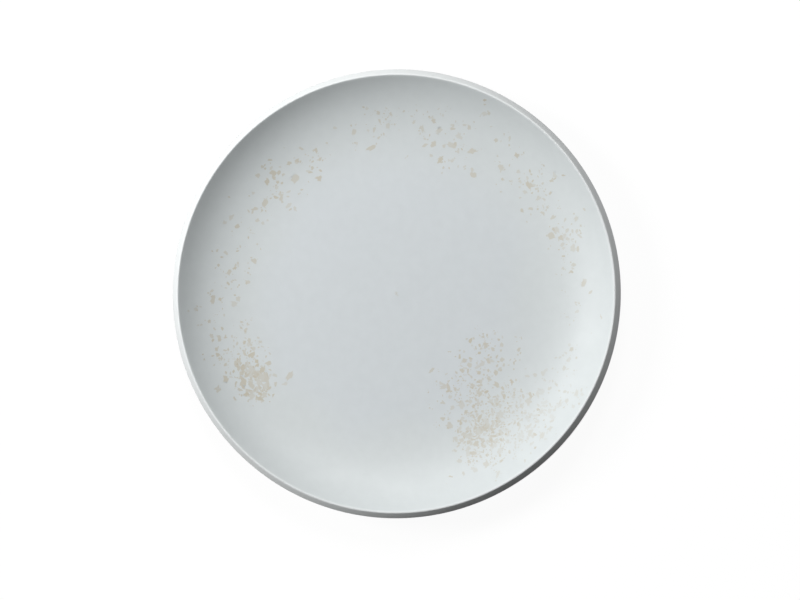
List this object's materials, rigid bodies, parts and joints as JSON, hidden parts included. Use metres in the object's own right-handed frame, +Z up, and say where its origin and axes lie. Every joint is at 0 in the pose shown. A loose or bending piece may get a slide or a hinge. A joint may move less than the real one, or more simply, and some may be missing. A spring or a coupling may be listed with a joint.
{
  "type": "side plate",
  "caption": "Round coupe side plate with a level well, a wall that curves up to a bevelled lip, and a foot ring, glazed satin blue-grey with beige spatter.",
  "frame": {"origin": "on the plate's axis, at the level of the table that the foot ring stands on", "axes": "+Z up along the plate's axis, out of the eating face; +X and +Y are free, since the shape is round"},
  "size_m": [0.17, 0.17, 0.0174],
  "materials": {
    "fired_clay": "bare fired white clay, fine and matt, sponged smooth",
    "satin_glaze": "satin pale blue-grey glaze",
    "spatter_glaze": "beige drops of a second glaze, flicked over the face and fused into it"
  },
  "bodies": {
    "root": {"clay_body": "fired_clay", "face_glaze": "satin_glaze", "outer_glaze": "satin_glaze", "base_glaze": "satin_glaze"}
  },
  "joints": []
}
